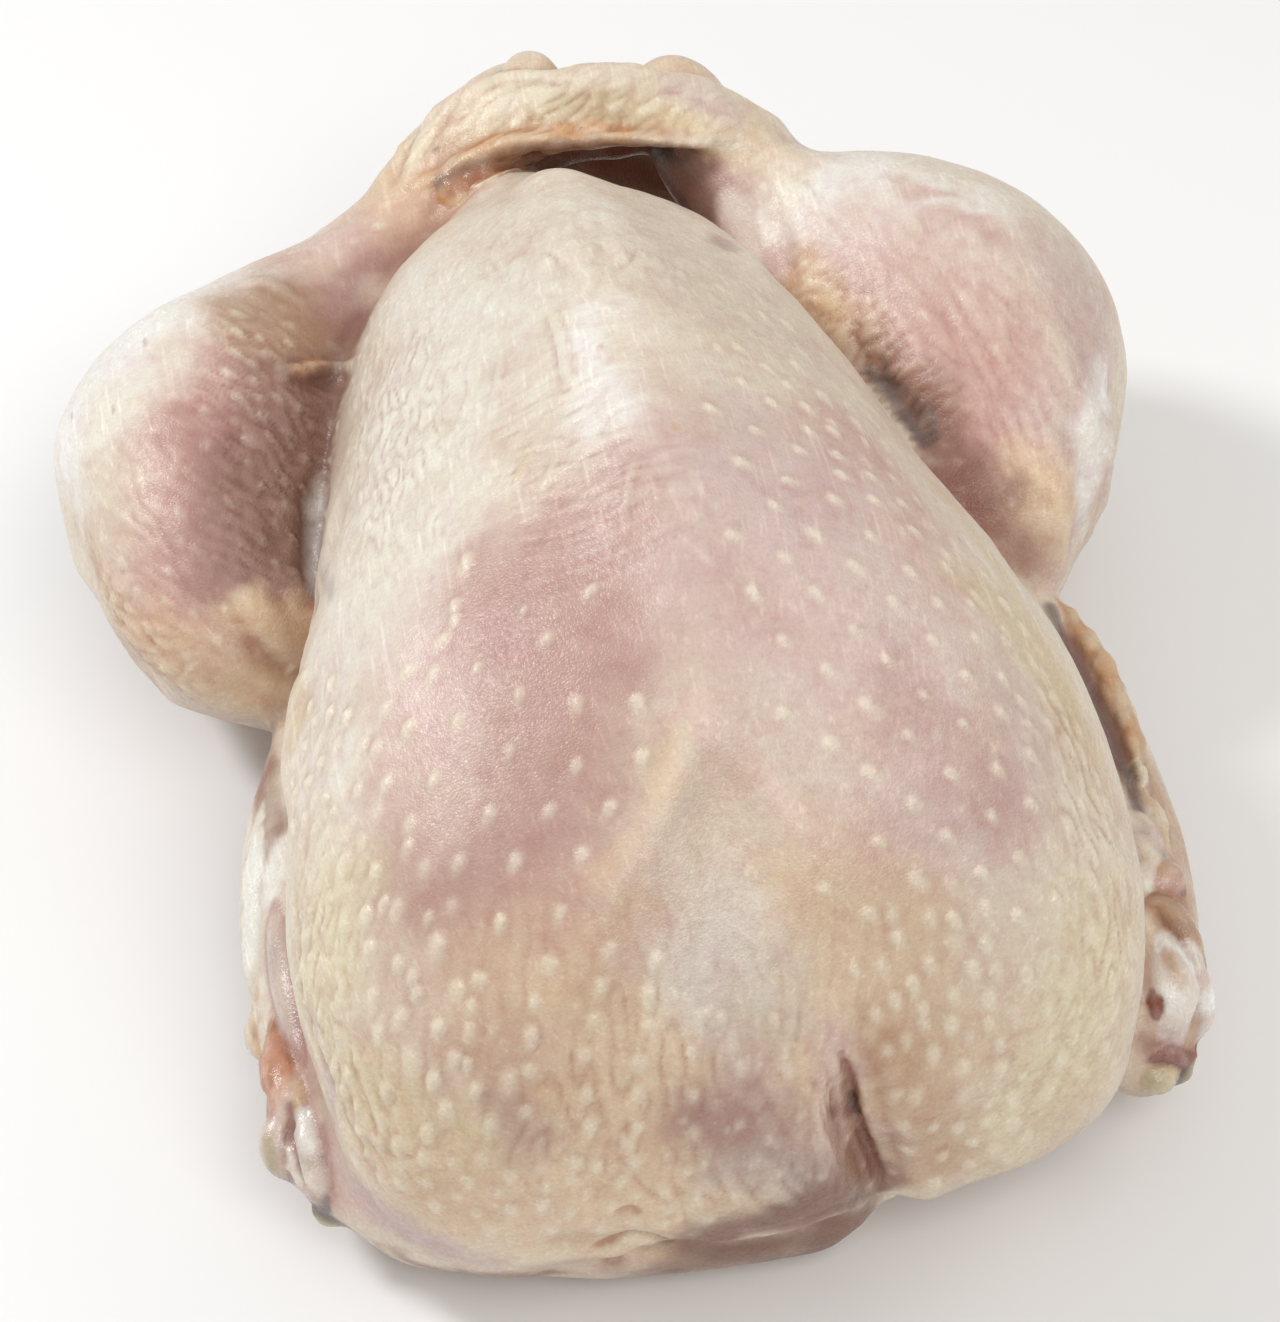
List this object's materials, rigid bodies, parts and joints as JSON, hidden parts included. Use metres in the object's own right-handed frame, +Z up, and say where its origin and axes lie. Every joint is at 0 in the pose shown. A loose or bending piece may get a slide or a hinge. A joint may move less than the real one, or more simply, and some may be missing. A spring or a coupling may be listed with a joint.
{
  "type": "whole raw turkey",
  "caption": "Whole raw turkey lying on its back, breast up, drumsticks tucked under the skin bar at the tail, wings folded at the sides.",
  "frame": {"origin": "middle of the bird's box, on the surface that it lies on", "axes": "+X to the side, +Y from the neck end to the tail, +Z up towards the breast"},
  "size_m": [0.2984, 0.3484, 0.1754],
  "materials": {
    "skin": "moist raw poultry skin, satin with small wet glints"
  },
  "bodies": {
    "root": {"turkey": "skin"}
  },
  "joints": []
}
